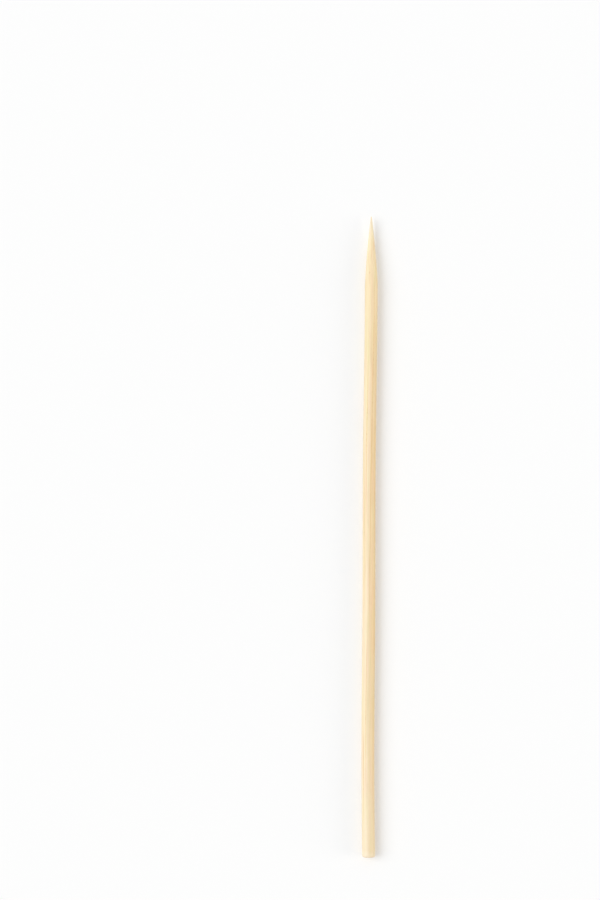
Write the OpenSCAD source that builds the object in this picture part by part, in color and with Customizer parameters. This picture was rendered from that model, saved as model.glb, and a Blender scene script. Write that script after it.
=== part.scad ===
// Bamboo skewer: one round stick of split bamboo, sawn flat at one end and
// ground to a long point at the other.
// It lies on the plane z = 0, along Y, with its point towards +Y. The origin is
// on that plane, under the middle of its length.

/* [Stick] */
// Whole length, from the sawn end to the tip
skewer_length = 200; // [100:5:400]
// Diameter of the round shank
shank_diameter = 4; // [2.5:0.1:6]
// Radius that tumbling wears on the rim of the sawn end
rim_radius = 0.4; // [0.1:0.1:1]

/* [Point] */
// Length of the ground point, from its shoulder on the shank to the tip
point_length = 22; // [12:1:40]
// How far the side of the point bulges from a straight cone, at half its length
point_bulge = 0.2; // [0.05:0.05:0.3]
// Radius of the blunt tip
tip_radius = 0.2; // [0.1:0.05:0.4]

/* [Hidden] */

shank_radius = shank_diameter / 2;
shoulder_at = skewer_length - point_length;

// The side of the point is a power curve. It leaves the shank without a corner
// and steepens towards the tip, and this power gives it the stated bulge.
side_power = -ln(0.5 - point_bulge / (shank_radius - tip_radius)) / ln(2);
// Half angle of the point where its side runs into the round tip
tip_angle = atan(side_power * (shank_radius - tip_radius) / (point_length - tip_radius));
side_end_radius = tip_radius * cos(tip_angle);
side_end_at = skewer_length - tip_radius * (1 - sin(tip_angle));

rim_steps = 6;
side_steps = 24;
tip_steps = 6;
sides_round = 96;

// Each function gives points of the outline as [radius, distance from the sawn end].
function worn_rim() = [
  for (i = [0:rim_steps])
    let (turn = 90 * i / rim_steps)
      [shank_radius - rim_radius * (1 - sin(turn)), rim_radius * (1 - cos(turn))]
];

function point_side() = [
  for (i = [0:side_steps])
    let (along = i / side_steps)
      [
        shank_radius - (shank_radius - side_end_radius) * pow(along, side_power),
        shoulder_at + (side_end_at - shoulder_at) * along
      ]
];

function round_tip() = [
  for (i = [1:tip_steps])
    let (turn = tip_angle + (90 - tip_angle) * i / tip_steps)
      [tip_radius * cos(turn), skewer_length - tip_radius * (1 - sin(turn))]
];

// The whole stick: its outline turned about the middle, then laid on its side.
module skewer() {
  color("#f4deb4")
    translate([0, -skewer_length / 2, shank_radius])
      rotate([-90, 0, 0])
        rotate_extrude($fn = sides_round)
          polygon(concat([[0, 0]], worn_rim(), point_side(), round_tip()));
}

skewer();
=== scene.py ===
import math

import bpy
import numpy as np
from mathutils import Matrix, Vector


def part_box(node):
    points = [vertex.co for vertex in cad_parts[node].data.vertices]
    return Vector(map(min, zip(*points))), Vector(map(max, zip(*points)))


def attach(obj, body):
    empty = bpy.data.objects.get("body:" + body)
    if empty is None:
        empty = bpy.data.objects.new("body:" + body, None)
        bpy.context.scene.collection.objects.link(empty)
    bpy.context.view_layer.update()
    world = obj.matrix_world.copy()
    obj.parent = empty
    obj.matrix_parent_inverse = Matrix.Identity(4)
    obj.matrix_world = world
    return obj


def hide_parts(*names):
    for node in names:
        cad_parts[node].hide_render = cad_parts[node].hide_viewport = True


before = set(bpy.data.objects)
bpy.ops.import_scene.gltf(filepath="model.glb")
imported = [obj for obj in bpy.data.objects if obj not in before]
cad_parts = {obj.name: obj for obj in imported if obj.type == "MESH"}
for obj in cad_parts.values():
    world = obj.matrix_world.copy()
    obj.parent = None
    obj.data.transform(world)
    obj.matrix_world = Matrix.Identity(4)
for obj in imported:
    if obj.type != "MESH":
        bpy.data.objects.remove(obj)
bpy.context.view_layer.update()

# The skewer: one stick of split bamboo, pulled through a round die, sawn flat at
# one end and ground to a long point at the other. It is a single piece, tumbled
# smooth, and left bare.
mm = 0.001
low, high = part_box("skewer")
sawn_y = low.y
tip_y = high.y
length = tip_y - sawn_y
shank_radius = (high.x - low.x) / 2
point_length = 22 * mm
point_bulge = 0.2 * mm
tip_radius = 0.2 * mm
rim_radius = 0.4 * mm

# The middle line bends sideways in three waves: one bow over the whole length, one
# swing to either side, and a smaller double one. It starts and ends a little aside.
aside_at_ends = 0.17 * mm
bow = -0.30 * mm
swing = -0.15 * mm
double_swing = -0.11 * mm

chance = np.random.default_rng(7)


def stick_outline():
    """Radius and distance from the sawn end of each ring, from the middle of the sawn face to the tip.

    The rim is a quarter circle. The point's side is a power curve that leaves the
    shank without a corner, with the power that gives it its bulge at half length,
    and it runs into the round tip where both have the same slope.
    """
    power = -math.log2(0.5 - point_bulge / (shank_radius - tip_radius))
    slope = math.atan(power * (shank_radius - tip_radius) / (point_length - tip_radius))
    end_radius = tip_radius * math.cos(slope)
    end_at = length - tip_radius * (1 - math.sin(slope))
    shoulder_at = length - point_length

    face_rings, rim_rings, shank_rings, point_rings, tip_rings = 48, 7, 240, 160, 7
    first_ring = 0.05 * mm
    face = np.linspace(first_ring, shank_radius - rim_radius, face_rings, endpoint=False)
    rim_turn = np.linspace(0, math.pi / 2, rim_rings)
    shank = np.linspace(rim_radius, shoulder_at, shank_rings)[1:-1]
    along_point = np.linspace(0, 1, point_rings)
    tip_turn = np.linspace(slope, math.pi / 2, tip_rings)[1:-1]
    radius = np.concatenate([
        face,
        shank_radius - rim_radius * (1 - np.sin(rim_turn)),
        np.full(shank.size, shank_radius),
        shank_radius - (shank_radius - end_radius) * along_point ** power,
        tip_radius * np.cos(tip_turn),
    ])
    place = np.concatenate([
        np.zeros(face.size),
        rim_radius * (1 - np.cos(rim_turn)),
        shank,
        shoulder_at + (end_at - shoulder_at) * along_point,
        length - tip_radius * (1 - np.sin(tip_turn)),
    ])
    return radius, place


def fibre_bundles(x, z, place):
    """Distance of each point from the nearest fibre bundle of the bamboo, as a share of its radius.

    The bundles stand on a triangular grid over the section, each a little off its
    place. They are thinner and closer together on the side that faced the skin of
    the cane, which is +X. All lean together by the slope of the grain, and each a
    little on its own. The share is 0 on a bundle's middle line and 1 at its edge,
    and stops at a far value between the bundles.
    """
    spacing = 0.72 * mm
    scatter = 0.12 * mm
    crowding = 0.16
    thinning = 0.2
    slope_across, slope_up, slope_scatter = math.radians(0.42), math.radians(-0.2), 0.0012
    thinnest, thickest = 0.10, 0.18
    far = 3.0

    column, row = np.meshgrid(np.arange(-6, 7), np.arange(-6, 7))
    across = (spacing * (column + row / 2)).ravel()
    up = (spacing * row * math.sqrt(3) / 2).ravel()
    across = across + chance.normal(0, scatter, across.size)
    up = up + chance.normal(0, scatter, up.size)
    across = across * (1 - crowding * across / shank_radius)
    lean_across = math.tan(slope_across) + chance.normal(0, slope_scatter, across.size)
    lean_up = math.tan(slope_up) + chance.normal(0, slope_scatter, across.size)
    thick = chance.uniform(thinnest, thickest, across.size) * mm
    thick = thick * (1 - thinning * np.clip(across / shank_radius, -1, 1))

    share = np.full(x.shape, far)
    from_middle = place - length / 2
    for a, u, to_side, to_top, r in zip(across, up, lean_across, lean_up, thick):
        away = np.hypot(x - a - to_side * from_middle, z - u - to_top * from_middle)
        share = np.minimum(share, away / r)
    return share


def drawn_lines(angle, place):
    """Depth of the scratches and flats that the die leaves along the stick.

    Each is a narrow bell across the stick, and fades in and out along it as a bell
    too. It winds round the stick a little. The first two are broad, and make the
    long flats of a stick cut a little thin. Angles and widths are in radians.
    """
    lines = 46
    winding = 0.5
    middle = chance.uniform(0, 2 * math.pi, lines)
    centre = chance.uniform(0, length, lines)
    reach = chance.uniform(15, 70, lines) * mm
    wide = chance.uniform(0.05, 0.11, lines)
    deep = chance.uniform(0.006, 0.022, lines) * mm
    middle[:2] = [2.5, 5.3]
    wide[:2] = [0.42, 0.36]
    deep[:2] = 0.05 * mm
    depth = np.zeros(angle.shape)
    for m, c, r, w, d in zip(middle, centre, reach, wide, deep):
        off = (angle - m - winding * (place - c) / length + math.pi) % (2 * math.pi) - math.pi
        depth += d * np.exp(-(off / w) ** 2 - ((place - c) / r) ** 2)
    return depth


def stick_surface(radius, place, around=180):
    """The stick as a grid: one turn round the section by the rings of its outline.

    To the plain outline it adds what the bamboo does. The section is out of round
    by waves of two and three lobes that wind along the stick, and the grinding
    leaves a faint wave of five on the point. The die's lines sink into the shank.
    Bundles stand a little proud of the side, and more of the sawn face, where the
    saw leaves fine ridges too. The rim of the cut is worn by an uneven depth, with
    fibre ends torn by the teeth. At last the whole follows the bent middle line.
    """
    angle = np.linspace(0, 2 * math.pi, around, endpoint=False)[None, :]
    radius = radius[:, None] + 0 * angle
    place = place[:, None] + 0 * angle
    angle = angle + 0 * radius
    out = radius / shank_radius
    along = place / length

    from_bundle = fibre_bundles(radius * np.cos(angle), radius * np.sin(angle), place)
    fibre = np.exp(-from_bundle ** 2)
    on_face = np.clip(1 - place / (0.3 * mm), 0, 1)
    on_point = np.clip((place - (length - point_length)) / (2 * mm), 0, 1)
    on_side = 1 - on_face

    two_lobes = 0.018 * mm * np.cos(2 * angle + 1.1 + 2.5 * along)
    three_lobes = 0.008 * mm * np.cos(3 * angle - 4 * along)
    ground = 0.02 * mm * np.sin(5 * angle + 30 * along) * on_point
    drawn = drawn_lines(angle, place) * (1 - on_point) * on_side
    side_fibre = 0.012 * mm * fibre * out * on_side
    torn = chance.normal(0, 0.012 * mm, around)
    worn = 0.035 * mm * (1 + 0.5 * np.sin(3 * angle + 0.6) + 0.3 * np.sin(8 * angle + 2.2))
    at_rim = np.exp(-((place - 0.1 * mm) / (0.2 * mm)) ** 2) * np.clip((out - 0.75) * 4, 0, 1)
    radius = radius + (two_lobes + three_lobes + ground) * out - drawn + side_fibre - (worn + torn) * at_rim

    saw_turn = 0.5
    over, up = radius * np.cos(angle + saw_turn), radius * np.sin(angle + saw_turn)
    saw_ridges = 0.008 * mm * np.sin(up / (0.09 * mm))
    saw_ridges = saw_ridges + 0.006 * mm * np.sin(up / (0.04 * mm) + over / (0.5 * mm))
    proud = 0.022 * mm * fibre + saw_ridges
    place = place - proud * on_face * np.clip((1 - out) * 5, 0, 1)

    bend = aside_at_ends + bow * np.sin(math.pi * along)
    bend = bend + swing * np.sin(2 * math.pi * along) + double_swing * np.sin(4 * math.pi * along)
    x = radius * np.cos(angle) + bend
    z = shank_radius + radius * np.sin(angle)
    return np.stack([x, sawn_y + place, z], axis=-1), from_bundle


def map_heights(radius, place):
    """How high each ring lies on the flat map of the stick, from 0 to 1.

    It is the distance along the outline from the middle of the sawn face to the
    tip, with half a step left at either end. The small sawn face is drawn 10 times
    as high as the shank, and the point twice, so that their detail stays sharp.
    """
    face_stretch, point_stretch = 10, 2
    steps = np.hypot(np.diff(radius), np.diff(place))
    middle = (place[1:] + place[:-1]) / 2
    on_point = np.where(middle > length - point_length, point_stretch, 1)
    steps = steps * np.where(middle < rim_radius, face_stretch, on_point)
    heights = np.concatenate([[0], np.cumsum(steps)]) + steps[0] / 2
    return heights / (heights[-1] + steps[-1] / 2)


def closed_mesh(name, grid, heights):
    """A mesh of the grid's rings, closed round each ring and with one point at either end.

    Its map is the surface laid flat, with one turn across it and the rings up it.
    The map has the name that the export looks for, so it bakes the material on it.
    """
    rings, around = grid.shape[:2]
    ends = grid[[0, -1]].mean(axis=1)
    points = np.concatenate([grid.reshape(-1, 3), ends])
    first = np.arange(rings - 1)[:, None] * around
    here = np.arange(around)[None, :]
    following = (here + 1) % around
    quads = np.stack([
        first + here, first + around + here, first + around + following, first + following,
    ], axis=-1).reshape(-1, 4)
    here, following = here[0], following[0]
    start, finish = rings * around, rings * around + 1
    last = (rings - 1) * around
    opening = np.stack([np.full(around, start), here, following], axis=-1)
    closing = np.stack([np.full(around, finish), last + following, last + here], axis=-1)
    mesh = bpy.data.meshes.new(name)
    mesh.from_pydata(points.tolist(), [], quads.tolist() + opening.tolist() + closing.tolist())
    mesh.shade_smooth()

    left, right = here / around, (here + 1) / around
    middle, bottom, top = (left + right) / 2, 0 * left, 0 * left + 1
    lowest, highest = bottom + heights[0], bottom + heights[-1]
    opening_places = np.stack([middle, bottom, left, lowest, right, lowest], axis=-1)
    closing_places = np.stack([middle, top, right, highest, left, highest], axis=-1)
    below, above = heights[:-1, None] + 0 * left, heights[1:, None] + 0 * left
    left, right = left + 0 * below, right + 0 * below
    quad_places = np.stack([left, below, left, above, right, above, right, below], axis=-1)
    flat_map = mesh.uv_layers.new(name="OFBake")
    flat_map.uv.foreach_set("vector", np.concatenate([
        quad_places.ravel(), opening_places.ravel(), closing_places.ravel(),
    ]).astype(np.float32))
    mesh.update()
    return mesh


radius, place = stick_outline()
surface, from_bundle = stick_surface(radius, place)
mesh = closed_mesh("bamboo_stick", surface, map_heights(radius, place))
at_ends = from_bundle[[0, -1]].mean(axis=1)
share = mesh.attributes.new("from_bundle", "FLOAT", "POINT")
share.data.foreach_set("value", np.append(from_bundle, at_ends).astype(np.float32))
stick = bpy.data.objects.new("bamboo_stick", mesh)
bpy.context.scene.collection.objects.link(stick)


def colour(hex_code):
    """An sRGB hex colour as linear red, green, blue and alpha."""
    parts = [int(hex_code[i:i + 2], 16) / 255 for i in (1, 3, 5)]
    return [p / 12.92 if p <= 0.04045 else ((p + 0.055) / 1.055) ** 2.4 for p in parts] + [1.0]


def add(material, kind, inputs=None, **properties):
    """Adds a node to a material, sets its properties, and gives each input its value or its link."""
    tree = material.node_tree
    node = tree.nodes.new("ShaderNode" + kind)
    for name, value in properties.items():
        setattr(node, name, value)
    for name, value in (inputs or {}).items():
        if isinstance(value, bpy.types.NodeSocket):
            tree.links.new(value, node.inputs[name])
        else:
            node.inputs[name].default_value = value
    return node


# Bare bamboo, drawn through a die and tumbled. Straw-yellow fibre bundles run
# through a pale cream ground, so the shank shows long faint streaks, the ground
# point shows them cut to long loops, and the sawn end shows them as dots.
bamboo = bpy.data.materials.new("bare_tumbled_bamboo")
bamboo.use_nodes = True
bamboo.node_tree.nodes.clear()
where = add(bamboo, "TexCoord").outputs["Object"]
across, along = add(bamboo, "SeparateXYZ", {"Vector": where}).outputs[:2]
from_bundle = add(bamboo, "Attribute", attribute_name="from_bundle").outputs["Fac"]

# Single fibres are about 0.02 mm across. They are drawn at 0.15 mm, the finest
# that shows, and gather into streaks 0.8 mm wide. Both run 60 times as far along
# the stick as they are wide.
grain = add(bamboo, "Mapping", {"Vector": where, "Scale": (1, 1 / 60, 1)}).outputs["Vector"]
fibres = add(bamboo, "TexNoise", {
    "Vector": grain, "Scale": 1 / (0.15 * mm), "Detail": 4, "Roughness": 0.75,
}).outputs["Fac"]
streaks = add(bamboo, "TexNoise", {
    "Vector": grain, "Scale": 1 / (0.8 * mm), "Detail": 2, "Roughness": 0.5,
}).outputs["Fac"]

# Faint green patches are 3 mm wide and a few centimetres long, and faint pink and
# green lines 0.6 mm wide and about a centimetre long. The flecks of the sap vessels
# are 0.12 mm wide, as the real ones are, and a millimetre long.
patches = add(bamboo, "Mapping", {"Vector": where, "Scale": (1, 0.08, 1)}).outputs["Vector"]
patches = add(bamboo, "TexNoise", {
    "Vector": patches, "Scale": 1 / (3 * mm), "Detail": 2, "Roughness": 0.5,
}).outputs["Fac"]
tints = add(bamboo, "Mapping", {"Vector": where, "Scale": (1, 0.05, 1)}).outputs["Vector"]
tints = add(bamboo, "TexNoise", {
    "Vector": tints, "Scale": 1 / (0.6 * mm), "Detail": 1, "Roughness": 0.5,
}).outputs["Color"]
pink_tint, green_tint = add(bamboo, "SeparateColor", {"Color": tints}).outputs[:2]
flecks = add(bamboo, "Mapping", {"Vector": where, "Scale": (1, 0.12, 1)}).outputs["Vector"]
flecks = add(bamboo, "TexNoise", {
    "Vector": flecks, "Scale": 1 / (0.12 * mm), "Detail": 2, "Roughness": 0.6,
}).outputs["Fac"]

# The distance from the nearest bundle, made uneven by the single fibres, so that a
# bundle's edge frays into them. They add 0.4 on average, so the edge is at 1.4.
frayed_distance = add(bamboo, "Math", {
    0: fibres, 1: 0.8, 2: from_bundle,
}, operation="MULTIPLY_ADD").outputs[0]
bundle_share = add(bamboo, "MapRange", {
    "Value": frayed_distance, "From Min": 1.65, "From Max": 1.2, "To Min": 0, "To Max": 0.8,
}).outputs["Result"]

# The +X side is painted darker and yellower than the -X side, a painted warm shade on
# the side away from the left lamp. Grinding lays clean, lighter wood bare, so the
# stick lightens towards its point.
painted_warm_shade = add(bamboo, "MapRange", {
    "Value": across, "From Min": -0.5 * shank_radius, "From Max": 0.9 * shank_radius,
    "To Min": 0, "To Max": 1,
}, interpolation_type="SMOOTHSTEP").outputs["Result"]
near_point = add(bamboo, "MapRange", {
    "Value": along, "From Min": tip_y - 52 * mm, "From Max": tip_y - 5 * mm, "To Min": 0, "To Max": 1,
}, interpolation_type="SMOOTHSTEP").outputs["Result"]
ground_colour = add(bamboo, "Mix", {
    0: painted_warm_shade, 6: colour("#F8E5C3"), 7: colour("#F7D5A3"),
}, data_type="RGBA").outputs[2]
ground_colour = add(bamboo, "Mix", {
    0: near_point, 6: ground_colour, 7: colour("#FFECC4"),
}, data_type="RGBA").outputs[2]
bundle_colour = add(bamboo, "Mix", {
    0: painted_warm_shade, 6: colour("#EDCF9A"), 7: colour("#E8C484"),
}, data_type="RGBA").outputs[2]
bundle_colour = add(bamboo, "Mix", {
    0: near_point, 6: bundle_colour, 7: colour("#F9DDAE"),
}, data_type="RGBA").outputs[2]
shank_colour = add(bamboo, "Mix", {
    0: bundle_share, 6: ground_colour, 7: bundle_colour,
}, data_type="RGBA").outputs[2]

# Some streaks are duller and some patches greener. Fine lines are a little pinker
# or greener than their neighbours, and single fibres a little lighter or darker.
streak_share = add(bamboo, "MapRange", {
    "Value": streaks, "From Min": 0.4, "From Max": 0.7, "To Min": 0, "To Max": 0.6,
}).outputs["Result"]
shank_colour = add(bamboo, "Mix", {
    0: streak_share, 6: shank_colour, 7: colour("#F2DAB2"),
}, data_type="RGBA").outputs[2]
patch_share = add(bamboo, "MapRange", {
    "Value": patches, "From Min": 0.45, "From Max": 0.7, "To Min": 0, "To Max": 0.5,
}).outputs["Result"]
shank_colour = add(bamboo, "Mix", {
    0: patch_share, 6: shank_colour, 7: colour("#F1E2B4"),
}, data_type="RGBA").outputs[2]
pink_share = add(bamboo, "MapRange", {
    "Value": pink_tint, "From Min": 0.42, "From Max": 0.7, "To Min": 0, "To Max": 1,
}).outputs["Result"]
shank_colour = add(bamboo, "Mix", {
    0: pink_share, 6: shank_colour, 7: colour("#FFF8FB"),
}, data_type="RGBA", blend_type="MULTIPLY").outputs[2]
green_share = add(bamboo, "MapRange", {
    "Value": green_tint, "From Min": 0.42, "From Max": 0.7, "To Min": 0, "To Max": 1,
}).outputs["Result"]
shank_colour = add(bamboo, "Mix", {
    0: green_share, 6: shank_colour, 7: colour("#FAFFF6"),
}, data_type="RGBA", blend_type="MULTIPLY").outputs[2]
line_shade = add(bamboo, "MapRange", {
    "Value": fibres, "From Min": 0.3, "From Max": 0.65, "To Min": 0.93, "To Max": 1.04,
}).outputs["Result"]
shank_colour = add(bamboo, "Mix", {
    0: 1.0, 6: shank_colour, 7: line_shade,
}, data_type="RGBA", blend_type="MULTIPLY").outputs[2]

# Sap vessels, cut open lengthwise, are short thin brown lines inside the bundles.
vessels = add(bamboo, "Math", {
    0: flecks, 1: 2.0, 2: from_bundle,
}, operation="MULTIPLY_ADD").outputs[0]
vessel_share = add(bamboo, "MapRange", {
    "Value": vessels, "From Min": 1.15, "From Max": 0.95, "To Min": 0, "To Max": 0.7,
}).outputs["Result"]
shank_colour = add(bamboo, "Mix", {
    0: vessel_share, 6: shank_colour, 7: colour("#C99A5B"),
}, data_type="RGBA").outputs[2]

# The stick is a little paler towards its sawn end, and palest on the tip and on the rim
# of the sawn end, where a painted highlight stands for the light the rounded rim catches.
near_saw = add(bamboo, "MapRange", {
    "Value": along, "From Min": sawn_y + 50 * mm, "From Max": sawn_y, "To Min": 0, "To Max": 0.2,
}, interpolation_type="SMOOTHSTEP").outputs["Result"]
# Painted highlight: the rim of the sawn end is painted paler, as if it caught the light.
painted_rim_highlight = add(bamboo, "MapRange", {
    "Value": along, "From Min": sawn_y + 2.5 * mm, "From Max": sawn_y + 0.5 * mm,
    "To Min": 0, "To Max": 0.25,
}, interpolation_type="SMOOTHSTEP").outputs["Result"]
near_tip = add(bamboo, "MapRange", {
    "Value": along, "From Min": tip_y - 9 * mm, "From Max": tip_y - 1 * mm, "To Min": 0, "To Max": 0.6,
}, interpolation_type="SMOOTHSTEP").outputs["Result"]
pale_share = add(bamboo, "Math", {0: near_saw, 1: painted_rim_highlight}).outputs[0]
pale_share = add(bamboo, "Math", {0: pale_share, 1: near_tip}).outputs[0]
shank_colour = add(bamboo, "Mix", {
    0: pale_share, 6: shank_colour, 7: colour("#FBF0DA"),
}, data_type="RGBA").outputs[2]

# The sawn end is darker, because the saw cuts across every fibre and leaves the
# open ends, and its bundles are the darkest. The cells between the bundles are
# about 0.055 mm across, as in real bamboo, and the open pores stand 0.11 mm apart.
end_share = add(bamboo, "MapRange", {
    "Value": along, "From Min": sawn_y + 0.05 * mm, "From Max": sawn_y + 0.3 * mm,
    "To Min": 1, "To Max": 0,
}).outputs["Result"]
cell_walls = add(bamboo, "TexVoronoi", {
    "Vector": where, "Scale": 1 / (0.055 * mm),
}, feature="DISTANCE_TO_EDGE").outputs["Distance"]
cell_shade = add(bamboo, "MapRange", {
    "Value": cell_walls, "From Min": 0, "From Max": 0.25, "To Min": 0.89, "To Max": 1.03,
}).outputs["Result"]
sheath_share = add(bamboo, "MapRange", {
    "Value": frayed_distance, "From Min": 1.5, "From Max": 1.35, "To Min": 0, "To Max": 1,
}).outputs["Result"]
# The +X side of the sawn face is painted warmer and darker too, the same painted warm shade.
end_colour = add(bamboo, "Mix", {
    0: painted_warm_shade, 6: colour("#F5DDB5"), 7: colour("#EFD0A0"),
}, data_type="RGBA").outputs[2]
end_colour = add(bamboo, "Mix", {
    0: sheath_share, 6: end_colour, 7: colour("#D3A972"),
}, data_type="RGBA").outputs[2]
end_colour = add(bamboo, "Mix", {
    0: 1.0, 6: end_colour, 7: cell_shade,
}, data_type="RGBA", blend_type="MULTIPLY").outputs[2]
pores = add(bamboo, "TexVoronoi", {"Vector": where, "Scale": 1 / (0.11 * mm)}).outputs["Distance"]
pores = add(bamboo, "Math", {
    0: from_bundle, 1: 0.35, 2: pores,
}, operation="MULTIPLY_ADD").outputs[0]
pore_share = add(bamboo, "MapRange", {
    "Value": pores, "From Min": 0.48, "From Max": 0.4, "To Min": 0, "To Max": 0.9,
}).outputs["Result"]
end_colour = add(bamboo, "Mix", {
    0: pore_share, 6: end_colour, 7: colour("#7A5834"),
}, data_type="RGBA").outputs[2]
skewer_colour = add(bamboo, "Mix", {
    0: end_share, 6: shank_colour, 7: end_colour,
}, data_type="RGBA").outputs[2]

# Grinding leaves the point duller than the tumbled shank, with scratches 0.12 mm
# wide round it, as a fine belt does, and the saw leaves the end duller still. The
# bundles are harder than the ground between them, so they shine a little more.
# Grooves, scratches and saw marks are all drawn 0.03 mm deep at the most.
scratches = add(bamboo, "Mapping", {"Vector": where, "Scale": (0.1, 1, 0.1)}).outputs["Vector"]
scratches = add(bamboo, "TexNoise", {
    "Vector": scratches, "Scale": 1 / (0.12 * mm), "Detail": 3, "Roughness": 0.65,
}).outputs["Fac"]
point_share = add(bamboo, "MapRange", {
    "Value": along, "From Min": tip_y - point_length, "From Max": tip_y - point_length + 2 * mm,
    "To Min": 0, "To Max": 1,
}).outputs["Result"]
dullness = add(bamboo, "MapRange", {
    "Value": point_share, "From Min": 0, "From Max": 1, "To Min": 0.46, "To Max": 0.62,
}).outputs["Result"]
dullness = add(bamboo, "Math", {
    0: bundle_share, 1: -0.08, 2: dullness,
}, operation="MULTIPLY_ADD").outputs[0]
dullness = add(bamboo, "Math", {
    0: end_share, 1: 0.3, 2: dullness,
}, operation="MULTIPLY_ADD").outputs[0]
relief = 0.03 * mm
grooves = add(bamboo, "Bump", {
    "Height": fibres, "Strength": 0.6, "Distance": relief,
}).outputs["Normal"]
scratch_height = add(bamboo, "Math", {0: scratches, 1: point_share}, operation="MULTIPLY").outputs[0]
finish = add(bamboo, "Bump", {
    "Height": scratch_height, "Strength": 0.5, "Distance": relief, "Normal": grooves,
}).outputs["Normal"]
saw_marks = add(bamboo, "Mapping", {"Vector": where, "Scale": (0.1, 1, 1)}).outputs["Vector"]
saw_marks = add(bamboo, "TexNoise", {
    "Vector": saw_marks, "Scale": 1 / (0.11 * mm), "Detail": 3, "Roughness": 0.65,
}).outputs["Fac"]
saw_height = add(bamboo, "Math", {
    0: cell_walls, 1: 0.5, 2: saw_marks,
}, operation="MULTIPLY_ADD").outputs[0]
saw_height = add(bamboo, "Math", {0: saw_height, 1: end_share}, operation="MULTIPLY").outputs[0]
finish = add(bamboo, "Bump", {
    "Height": saw_height, "Strength": 0.7, "Distance": relief, "Normal": finish,
}).outputs["Normal"]
skin = add(bamboo, "BsdfPrincipled", {
    "Base Color": skewer_colour, "Roughness": dullness, "Normal": finish, "IOR": 1.5,
}).outputs["BSDF"]
add(bamboo, "OutputMaterial", {"Surface": skin})

stick.data.materials.append(bamboo)
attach(stick, "root")
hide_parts("skewer")

# The table top is a sheet of matt white paper. To the camera it glows by a small
# share of white, so it shows nearly white and keeps the soft shadow beside the
# stick. It is so wide that it meets the white room without a line.
table_width = 60
paper_glow = 0.105
bpy.ops.mesh.primitive_plane_add(size=table_width)
table = bpy.context.object
table.name = "table"
paper = bpy.data.materials.new("white_paper")
paper.use_nodes = True
paper.node_tree.nodes.clear()
seen = add(paper, "LightPath").outputs["Is Camera Ray"]
glow = add(paper, "Math", {0: seen, 1: paper_glow}, operation="MULTIPLY").outputs[0]
sheet = add(paper, "BsdfPrincipled", {
    "Base Color": colour("#F0F1F2"), "Roughness": 1.0, "Specular IOR Level": 0.0,
    "Emission Color": (1, 1, 1, 1), "Emission Strength": glow,
}).outputs["BSDF"]
add(paper, "OutputMaterial", {"Surface": sheet})
table.data.materials.append(paper)

# A pale room gives most of the light, and shows as white. A broad soft lamp stands
# up and to the left, and a weaker, slightly warm one low on the right fills the
# shaded side.
room_light = 0.62
room = bpy.data.worlds.new("pale_room")
bpy.context.scene.world = room
room.use_nodes = True
room.node_tree.nodes.clear()
seen = add(room, "LightPath").outputs["Is Camera Ray"]
level = add(room, "MapRange", {"Value": seen, "To Min": room_light, "To Max": 1.0}).outputs["Result"]
walls = add(room, "Background", {"Color": (1, 1, 1, 1), "Strength": level}).outputs["Background"]
add(room, "OutputWorld", {"Surface": walls})


def soft_lamp(name, way, width, strength, tint):
    """A broad lamp far off that way, so wide in degrees, which lights the whole table evenly."""
    lamp = bpy.data.lights.new(name, "SUN")
    lamp.angle = math.radians(width)
    lamp.energy = strength
    lamp.color = tint
    lamp_object = bpy.data.objects.new(name, lamp)
    lamp_object.rotation_euler = Vector(way).to_track_quat("Z", "Y").to_euler()
    bpy.context.scene.collection.objects.link(lamp_object)


soft_lamp("lamp_left", (-0.88, 0.08, 0.88), 44, 1.42, (1, 1, 1))
soft_lamp("lamp_right", (0.9, -0.1, 0.28), 30, 0.75, (1, 0.9, 0.75))

# The camera looks straight down, with the point at the top of the picture. The two
# ends of the stick are where the picture has them, in its pixels, which sets how
# high the camera stands, how it is turned, and how far it stands beside the stick.
picture_width, picture_height = 600, 900
tip_pixel = Vector((371.3, 216.5))
sawn_pixel = Vector((368.65, 857.0))
reach = tip_pixel - sawn_pixel
pixel = length / reach.length
roll = math.atan2(reach.x, -reach.y)
middle = (tip_pixel + sawn_pixel) / 2 - Vector((picture_width, picture_height)) / 2
camera_data = bpy.data.cameras.new("camera")
camera_data.lens = 135
camera_data.sensor_width = 36
height = camera_data.lens / camera_data.sensor_width * picture_height * pixel
camera = bpy.data.objects.new("camera", camera_data)
offset = Matrix.Rotation(roll, 3, "Z") @ Vector((-middle.x, middle.y, 0)) * pixel
camera.location = offset + Vector((aside_at_ends, 0, shank_radius + height))
camera.rotation_euler = (0, 0, roll)
camera_data.clip_start, camera_data.clip_end = 0.05, 100
bpy.context.scene.collection.objects.link(camera)
bpy.context.scene.camera = camera
bpy.context.scene.view_settings.view_transform = "Standard"
